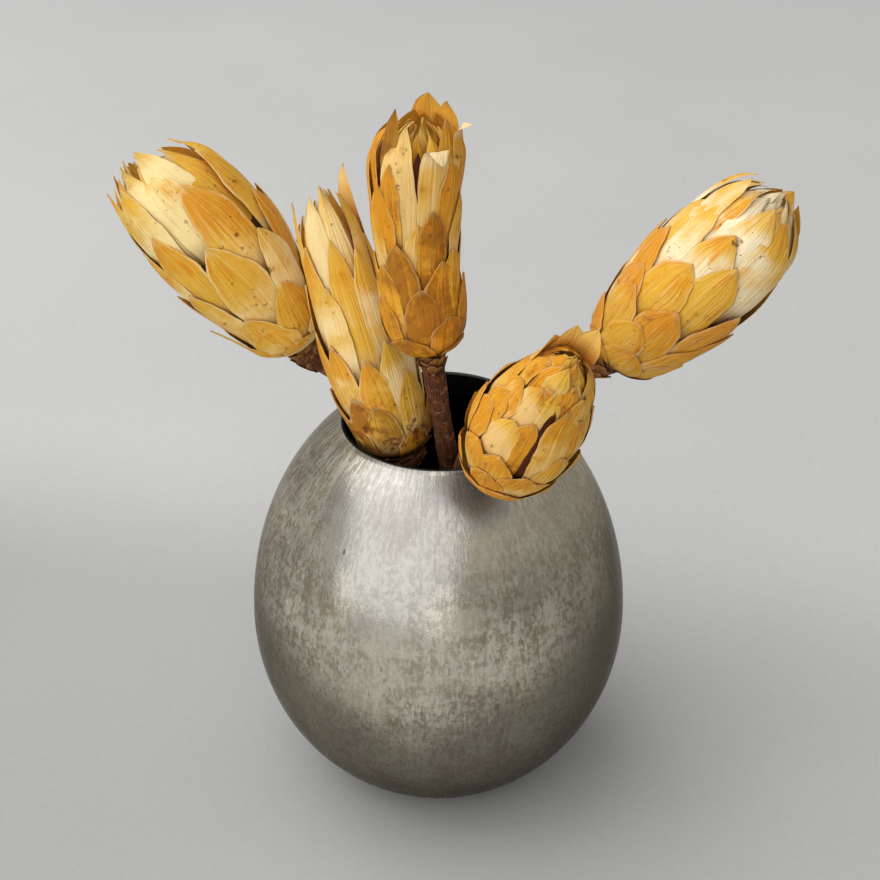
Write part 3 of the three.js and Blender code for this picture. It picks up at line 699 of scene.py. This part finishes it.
def spiral(head, order):
    """The bracts of one head by its seeded rule, with a kind of draw for each measure, then those
    listed. The last sixth of the outer ones and all inner ones end at the top. Outer ones
    whose tips would end in the clear part, from an angle to an angle and from t to t, give way to
    those on the front. The slant lowers the upper tips, most at its own angle."""
    i = np.arange(head["outer"] + head["inner"])
    f = np.minimum(i / (head["outer"] - 1), 1)
    inward = np.maximum(i - head["outer"] + 1, 0) / head["inner"]
    climb = np.minimum(f / TOP_FROM, 1) ** 1.1
    tip = head["first_tip"] + (head["last_tip"] - head["first_tip"]) * climb + 0.022 * draw(i, order)
    angle = np.degrees(head["turn"] + i * GOLDEN_ANGLE + 0.12 * draw(i, order + 10))
    short_side, shortening = head["slant"]
    tip = tip - shortening * climb ** 4 * (1 + np.cos(np.radians(angle - short_side))) + head["dome"] * inward
    width = np.interp(f, [0, 0.5, 1], head["half_width"])
    rule = USUAL_BRACT | dict(
        angle=angle,
        root=np.maximum(0.01, tip - np.interp(f, [0, 1], head["reach"])),
        tip=tip,
        half_width=width * (1 + 0.14 * draw(i, order + 20) - 0.2 * inward),
        lift=head["lift"] + 0.3 * draw(i, order + 30),
        share=1 - 0.07 * np.maximum(f - TOP_FROM, 0) / (1 - TOP_FROM) - 0.6 * inward,
        level=f + inward,
        point=head["point"] - 0.2 * f + 0.3 * draw(i, order + 110),
        hinge=0.74 + 0.1 * draw(i, order + 40),
        curl=0.05 * draw(i, order + 50) - 0.05 - head["closing"] * climb ** 6,
        roll=0.2 * draw(i, order + 60) - 0.2,
        lean=0.2 * draw(i, order + 70),
        sway=0.16 * draw(i, order + 80),
        seed=0.5 + 0.5 * draw(i, order + 90),
        seed2=0.5 + 0.5 * draw(i, order + 100))
    left, right, low, high = head["clear"]
    turned = (angle + 180) % 360 - 180
    kept = (turned < left) | (turned > right) | (tip < low) | (tip > high) | (inward > 0)
    usual = USUAL_BRACT | dict(lift=head["lift"], point=head["point"])
    by_hand = [usual | one for one in front_bracts(head, order) + head["loose"]]
    for key, value in rule.items():
        rule[key] = np.append(np.broadcast_to(value, len(i))[kept], [one[key] for one in by_hand])
    rule["angle"] = np.radians(rule["angle"])
    return rule


def bract_finish(name, cream, pale, fade, warm, dark, soiled, burns):
    """Dried bracts: cream at the root and golden to the tip, with fibres, freckles and brown stains,
    painted highlights on their pale rims, painted shade at their roots and in the slits, and a
    painted glow on their inner faces. Pale, warm and dark say how much of a head is cream, orange and
    brown, fade how much paler its upper bracts are, and soiled how much browner its lower ones. Burns
    are its largest brown marks, each a place and a half size in mm."""
    paper = Finish(name, Roughness=0.6, Specular_IOR_Level=0.15)
    across, along, face = paper.split(paper.attribute("blade"))
    seed, level, seed2 = paper.split(paper.attribute("tone"))
    shade_darkening, turned, _ = paper.split(paper.attribute("age"))
    spot = paper.spot()
    fibre_way = paper.vector(across * 7 + seed * 40, along * 1.1, seed2 * 31)
    fibres = paper.noise(fibre_way, 2.2, 4.0, 0.62)
    creases = paper.noise(fibre_way, 0.8, 2.0, 0.5, 0.4)
    blush = paper.noise(spot, 70.0, 3.0, 0.5, 0.3)
    stain = paper.noise(spot, 150.0, 4.0, 0.6, 0.6)
    fleck = paper.noise(spot, 620.0, 2.0, 0.5) + (stain - 0.5) * 0.5
    speckle = paper.noise(spot, 380.0, 1.0, 0.5) + (stain - 0.5) * 0.5
    scorch = paper.noise(spot, 260.0, 1.0, 0.5)
    raggedness = (paper.noise(spot, 520.0, 3.0, 0.6) - 0.5) * 2.6

    lowest = paper.step(level, 0.45, 0.0) * soiled
    golden = along * 1.5 + (blush - 0.5) * 2.1 + (seed - 0.5) * 0.9 - level * fade - pale + lowest * 0.9
    orange = golden * 0.6 + (seed2 - 0.5) * 0.8 + (stain - 0.5) * 1.1 + (creases - 0.5) * 1.3
    orange = orange + warm - level * 0.2
    brown = stain * 0.65 + creases * 0.4 + (blush - 0.5) * 0.6 + dark * 0.35 - 0.12 + lowest
    marks = [paper.near(spot, centre, [half_size * BURN_SPREAD] * 3) for *centre, half_size in burns]
    rim = paper.step(abs(across), 0.80, 0.97) * paper.step(along, 0.3, 0.6) + paper.step(along, 0.90, 1.0)
    rim_highlight = rim * paper.step(creases + (stain - 0.5), 0.4, 0.62, 0.15, 1.0) * (0.6 - 0.6 * dark)
    colour = paper.layers(
        cream,
        (paper.step(golden, 0.1, 0.95), GOLD),
        (paper.step(orange, 0.35, 1.0), ORANGE),
        (paper.step(fibres, 0.48, 0.75) * 0.4, cream),
        (paper.step(fibres, 0.28, 0.46, 0.38, 0.0), FIBRE_BROWN),
        (paper.step(brown, 0.6, 0.86) * 0.7, STAIN_BROWN),
        (paper.step(fleck, 0.70, 0.78) * 0.7, FLECK_BROWN),
        (paper.step(speckle, 0.74, 0.80) * 0.55, SPECKLE_BROWN),
        (paper.step(scorch, 0.56, 0.64) * lowest * 1.2, SCORCHED),
        *((paper.step(mark + raggedness, 0.7, 1.15) * 0.75, CHARRED) for mark in marks),
        # Painted highlight: pale cream along the rims and tips, broken by creases and stains.
        (rim_highlight, RIM_HIGHLIGHT_CREAM),
        # Painted shade: dark brown at the roots, under the bracts that overlap them.
        (paper.step(along, 0.4, 0.1, 0.0, 0.85), ROOT_SHADE_BROWN),
        # Inner faces: their own gold, brightened as a painted glow of light shining through the thin bracts.
        (paper.step(face, -0.1, -0.35, 0.0, 0.85), paper.mix(turned, INNER_GOLD_AND_GLOW, INNER_CREAM)),
        (turned * paper.step(along, 0.76, 0.86) * 0.8, TURNED_TIP),
        # Painted shade: near-black brown on the strips laid in the slits, and in part on a few bracts.
        (shade_darkening, SHADE_DARK_BROWN))
    paper.bump(fibres * 0.3 + creases * 0.8 + stain * 0.4, CREASE_DEPTH, 0.7)
    return paper.feed(Base_Color=colour, Roughness=paper.step(fibres, 0.3, 0.7, 0.68, 0.5))


def make_heart(place, envelope):
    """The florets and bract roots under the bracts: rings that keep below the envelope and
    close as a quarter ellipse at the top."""
    t = np.linspace(0.004, 1, CORE_ROWS) * CORE_TOP
    dome = np.sqrt(1 - np.clip((t / CORE_TOP - DOME_FROM) / (1 - DOME_FROM), 0, 1) ** 2)
    radius = np.maximum(envelope(t) - CORE_DEPTH, CORE_LEAST) * np.maximum(dome, 0.05)
    angle = np.linspace(0, -2 * np.pi, CORE_SIDES, endpoint=False)
    rings = place(t[:, None] + 0 * angle, angle, radius[:, None])
    return rings[None], place([0.003], [0], [0]), place([CORE_TOP + 0.002], [0], [0])


def make_florets(place, envelope, order):
    """Slender tapering florets with a knob near the tip, which stand in the open top on a golden
    spiral round the spine and spread a little as they rise."""
    k = np.arange(FLORETS)[:, None, None]
    u = np.linspace(0, 1, FLORET_ROWS)[None, :, None]
    phi = np.linspace(0, -2 * np.pi, FLORET_SIDES, endpoint=False)[None, None]
    share = np.sqrt((k + 0.5) / FLORETS)
    spread = share * (FLORET_SPREAD + FLORET_OPENING * u) * envelope(CORE_TOP)
    turn = k * GOLDEN_ANGLE + 0.25 * u * draw(k, order + 120)
    t = FLORET_FROM + u * (FLORET_RISE - FLORET_DOME * share ** 2 + 0.02 * draw(k, order + 130))
    thick = FLORET_RADIUS * (1 - FLORET_TAPER * u + KNOB * np.exp(-((u - KNOB_AT) / KNOB_LENGTH) ** 2))
    swing = np.arctan2(thick * np.sin(phi), spread + thick * np.cos(phi))
    reach = np.hypot(thick * np.sin(phi), spread + thick * np.cos(phi))
    rings = place(t + 0 * phi, turn + swing, reach)
    return rings, rings[:, 0].mean(1), rings[:, -1].mean(1)


def heart_finish():
    """Matted brown florets with paler hairy tips; the core under the bracts is painted nearly black as shade.
    """
    felt = Finish("dried_florets", Roughness=0.9)
    spot = felt.spot()
    hairs = felt.noise(felt.stretch(spot, (1, 1, 0.4)), 900.0, 3.0, 0.6)
    matted = felt.noise(spot, 160.0, 3.0, 0.6)
    core_shade, _, _ = felt.split(felt.attribute("core_shade"))
    colour = felt.layers(
        FELT_DARK,
        (felt.step(matted, 0.35, 0.65), FELT_BROWN),
        (felt.step(hairs, 0.55, 0.75) * 0.6, HAIR_TAN),
        # Painted shade: the core under the bracts is nearly black.
        (core_shade * 0.85, CORE_SHADE_BLACK))
    felt.bump(hairs, HAIR_DEPTH, 0.8)
    return felt.feed(Base_Color=colour)


florets_felt = heart_finish()
for order, (node, head) in enumerate(HEADS.items()):
    length, place = make_spine(*head["spine"])
    envelope = make_envelope(head)
    rings, first, last, *carried = make_bracts(length, place, envelope, spiral(head, order))
    points, faces = closed_skins(rings, first, last)
    bracts = put_mesh(node + "_bracts", points, faces)
    for layer, values in zip(("blade", "tone", "age"), carried):
        carry(bracts, layer, with_poles(values))
    bracts.data.materials.append(bract_finish(node + "_paper", **LOOKS[node]))
    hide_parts(node)
    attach(bracts, "root")

    core, core_faces = closed_skins(*make_heart(place, envelope))
    tufts, tuft_faces = closed_skins(*make_florets(place, envelope, order))
    points, faces = np.concatenate([core, tufts]), core_faces + [f + len(core) for f in tuft_faces]
    heart = put_mesh(node + "_florets", points, faces)
    carry(heart, "core_shade", (np.arange(len(points)) < len(core))[:, None] * np.ones(3))
    heart.data.materials.append(florets_felt)
    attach(heart, "root")


# Stems. Each is a woody twig with ridged dark bark and leaf scars. It climbs from the vase floor
# out through the mouth and widens into a cup of small dry scales under its flower head.

STEM_SIDES, STEM_STEPS, PATH_STEPS, STEM_GAP = 24, 150, 60, 0.3 * MM
KNOBS, OVAL, COARSE_RIDGE, FINE_RIDGE = 0.05, 0.04, 0.12, 0.08
SCARS, SCAR_HEIGHT, SCAR_TURN, SCAR_LENGTH, FIRST_SCAR, SCARRED = 9, 0.55 * MM, 0.55, 1.6 * MM, 0.08, 0.86
CUP_LENGTH, CUP_SPREAD, CUP_OUTWARD, CUP_STEP = 9 * MM, 9, 0.75 * MM, 0.2
CUP_SCALES, LOWEST_SCALE, SCALES_CLIMB, SCALE_REACH = 26, -0.035, 0.085, 0.07
SCALE_HALF_WIDTH, SCALE_WIDENING, USUAL_BASE = 2.3, 0.9, 5.5
BARK_WAY_LENGTH, BARK_DEPTH, HUSK_DEPTH = 4 * MM, 1.4 * MM, 0.4 * MM
CRACK_DARK, BARK_BROWN, RING_BROWN, DUST_TAN = (
    (0.028, 0.008, 0.003), (0.20, 0.062, 0.022), (0.30, 0.10, 0.03), (0.44, 0.23, 0.11))
HUSK_DARK, HUSK_OCHRE, HUSK_EDGE, HUSK_GRIT = (
    (0.06, 0.022, 0.007), (0.32, 0.15, 0.04), (0.52, 0.27, 0.09), (0.05, 0.02, 0.010))

# Radii at the floor and under the head, a turn that sets the knobs, and the path's points in mm.
STEMS = {
    "stem_left": dict(
        head="head_left", radii=[4, 3.6], twist=0.3,
        points=[[13, 10, 2.3], [-3, 14, 75], [-16, 14, 130], [-23, 14.2, 151.5], [-34.5, 15, 160.8]]),
    "stem_tall": dict(
        head="head_tall", radii=[4.2, 3.8], twist=1.2,
        points=[[-13, -9, 2.3], [-14, -8, 70], [-13, -6.5, 120]]),
    "stem_middle": dict(
        head="head_middle", radii=[3.2, 3.7], twist=2.2,
        points=[[10, -9, 2.3], [8, -9, 70], [5.5, -8.6, 115], [3.9, -9.6, 136], [2.3, -14.7, 152],
                [-0.4, -21, 175]]),
    "stem_front": dict(
        head="head_front", radii=[3.9, 3.4], twist=3.1,
        points=[[-1, -19, 2.3], [2, -20, 70], [6.5, -20.5, 125], [9.4, -24, 149], [13, -34.5, 158.2]]),
    "stem_right": dict(
        head="head_right", radii=[4, 3.7], twist=4,
        points=[[-13, 5, 2.3], [5, 2, 75], [18, 0.5, 130], [24, 0, 151], [38, 0.8, 161.4]]),
}


def smooth_path(points, count):
    """A centripetal Catmull-Rom curve through the points, at equal steps of its length. Returns the
    places, the directions and the length."""
    p = np.concatenate([2 * points[:1] - points[1:2], points, 2 * points[-1:] - points[-2:-1]])
    gap = np.sqrt(np.linalg.norm(np.diff(p, axis=0), axis=1))[:, None]
    chord = np.diff(p, axis=0)
    pull = chord[:-1] / gap[:-1] - (p[2:] - p[:-2]) / (gap[:-1] + gap[1:]) + chord[1:] / gap[1:]
    u = np.linspace(0, 1, PATH_STEPS, endpoint=False)[None, :, None]
    a, b = p[1:-2, None], p[2:-1, None]
    start, end = (pull[:-1] * gap[1:-1])[:, None], (pull[1:] * gap[1:-1])[:, None]
    track = a + start * u + (3 * b - 3 * a - 2 * start - end) * u ** 2
    track = track + (2 * a - 2 * b + start + end) * u ** 3
    track = np.concatenate([track.reshape(-1, 3), points[-1:]])
    along = np.concatenate([[0], np.cumsum(np.linalg.norm(np.diff(track, axis=0), axis=1))])
    even = np.linspace(0, along[-1], count)
    places = np.stack([np.interp(even, along, track[:, k]) for k in range(3)], 1)
    return places, unit(np.gradient(places, axis=0)), along[-1]


def cup_flare(distance, base_radius, radius):
    """How much a stem widens at a distance in metres past its end: smoothly to the head's base."""
    u = np.clip(1 + distance / CUP_LENGTH, 0, 1)
    return u * u * (3 - 2 * u) * (base_radius - CUP_STEP - radius) * MM


def make_stem(stem, base, axis, base_radius, order):
    """A tube along the stem's path whose radius tapers, swells at knobs and leaf scars, carries two
    sets of ridges, and widens in a cup at the head. The end rings are square to the floor and the
    head."""
    points = np.concatenate([np.array(stem["points"], float) * MM, [base - STEM_GAP * axis]])
    centre, along, length = smooth_path(points, STEM_STEPS)
    along[0], along[-1] = (0, 0, 1), axis
    front = unit(np.array([0, -1, 0]) + along * along[:, 1:2])
    side = np.cross(along, front)
    u = np.linspace(0, 1, STEM_STEPS)[:, None]
    phi = np.linspace(0, -2 * np.pi, STEM_SIDES, endpoint=False)[None]
    low, high = stem["radii"]
    knob = 1 + KNOBS * np.sin(40 * u + stem["twist"]) + OVAL * np.sin(2 * phi + 17 * u)
    ridges = COARSE_RIDGE * np.sin(7 * phi + 5 * u) + FINE_RIDGE * np.sin(11 * phi - 9 * u + 2)
    k = np.arange(SCARS)[:, None, None]
    up = (u - FIRST_SCAR - SCARRED * (k + 0.4 * draw(k, order + 140)) / SCARS) * length
    off = np.angle(np.exp(1j * (phi - k * GOLDEN_ANGLE - order)))
    scars = (SCAR_HEIGHT * np.exp(-(off / SCAR_TURN) ** 2 - (up / SCAR_LENGTH) ** 2)).sum(0)
    radius = ((low + (high - low) * u) * knob + ridges) * MM + scars
    radius = radius + cup_flare((u - 1) * length, base_radius, high)
    rings = centre[:, None] + radius[..., None] * (
        np.cos(phi)[..., None] * front[:, None] + np.sin(phi)[..., None] * side[:, None])
    ways = np.stack(np.broadcast_arrays(np.cos(phi), np.sin(phi), u * length / BARK_WAY_LENGTH), -1)
    return rings[None], centre[:1], centre[-1:], ways[None]


def make_cup(head, length, radius):
    """The radius that the scales under a head lie on: the flared stem below the spine's base, and
    above it a cone that stays within the head's envelope."""
    envelope = make_envelope(head)

    def cup(t):
        """The radius in metres at each t."""
        below = radius * MM + cup_flare(t * length, head["base_radius"], radius)
        cone = head["base_radius"] * MM * (1 + CUP_SPREAD * np.maximum(t, 0))
        return np.where(t < 0, below, np.minimum(envelope(t), cone)) + CUP_OUTWARD

    return cup


def cup_scales(head, order):
    """Small scales on a golden spiral that climbs over the cup, wider towards the head."""
    i = np.arange(CUP_SCALES)
    f = i / (CUP_SCALES - 1)
    tip = LOWEST_SCALE + SCALES_CLIMB * f + 0.01 * draw(i, order + 150)
    return USUAL_BRACT | dict(
        angle=i * GOLDEN_ANGLE + order,
        root=tip - SCALE_REACH,
        tip=tip,
        half_width=(SCALE_HALF_WIDTH + SCALE_WIDENING * f) * (head["base_radius"] / USUAL_BASE) ** 0.5,
        lift=0.5 + 0.4 * draw(i, order + 160),
        level=f,
        point=1.6,
        hinge=0.5,
        curl=0.25 * draw(i, order + 170),
        roll=0.2 * draw(i, order + 180),
        lean=0.2 * draw(i, order + 190),
        sway=0.1 * draw(i, order + 200),
        seed=0.5 + 0.5 * draw(i, order + 210),
        sink=0.3)


def bark_finish():
    """Dark red-brown bark with long cracks, pale brown rings and grey-tan dust."""
    bark = Finish("twig_bark", Roughness=0.8, Specular_IOR_Level=0.3)
    way = bark.attribute("bark_way")
    cracks = bark.noise(bark.stretch(way, (4, 4, 0.5)), 1.6, 4.0, 0.65, 0.3)
    rings = bark.noise(bark.stretch(way, (0.6, 0.6, 5)), 1.0, 2.0, 0.5)
    dust = bark.noise(bark.spot(), 260.0, 4.0, 0.6)
    colour = bark.layers(
        CRACK_DARK,
        (bark.step(cracks, 0.3, 0.7), BARK_BROWN),
        (bark.step(rings, 0.55, 0.7) * 0.4, RING_BROWN),
        (bark.step(dust, 0.55, 0.68) * 0.6, DUST_TAN))
    bark.bump(cracks * 0.8 + rings * 0.3 + dust * 0.4, BARK_DEPTH, 0.9)
    return bark.feed(Base_Color=colour, Roughness=bark.step(cracks, 0.3, 0.7, 0.7, 0.9))


def scale_finish():
    """Small dry scales: dark at the root, with a worn ochre edge."""
    husk = Finish("cup_scales", Roughness=0.75, Specular_IOR_Level=0.15)
    across, along, _ = husk.split(husk.attribute("blade"))
    seed, _, _ = husk.split(husk.attribute("tone"))
    grit = husk.noise(husk.spot(), 420.0, 3.0, 0.6)
    edge = husk.step(abs(across), 0.7, 0.95) * husk.step(along, 0.4, 0.8)
    colour = husk.layers(
        HUSK_DARK,
        (husk.step(along + seed * 0.5, 0.5, 1.3), HUSK_OCHRE),
        (edge * 0.6, HUSK_EDGE),
        (husk.step(grit, 0.5, 0.7) * 0.5, HUSK_GRIT))
    husk.bump(grit, HUSK_DEPTH, 0.7)
    return husk.feed(Base_Color=colour)


twig_bark, cup_husk = bark_finish(), scale_finish()
for order, (node, stem) in enumerate(STEMS.items()):
    head = HEADS[stem["head"]]
    length, place = make_spine(*head["spine"])
    base, above = place([0, 0.001], [0, 0], [0, 0])
    rings, first, last, ways = make_stem(stem, base, unit(above - base), head["base_radius"], order)
    points, faces = closed_skins(rings, first, last)
    twig = put_mesh(node + "_twig", points, faces)
    carry(twig, "bark_way", with_poles(ways))
    twig.data.materials.append(twig_bark)
    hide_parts(node)
    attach(twig, "root")

    cup_radius = make_cup(head, length, stem["radii"][1])
    rings, first, last, blade, tone, _ = make_bracts(length, place, cup_radius, cup_scales(head, order))
    points, faces = closed_skins(rings, first, last)
    cup = put_mesh(node + "_cup_scales", points, faces)
    carry(cup, "blade", with_poles(blade))
    carry(cup, "tone", with_poles(tone))
    cup.data.materials.append(cup_husk)
    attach(cup, "root")
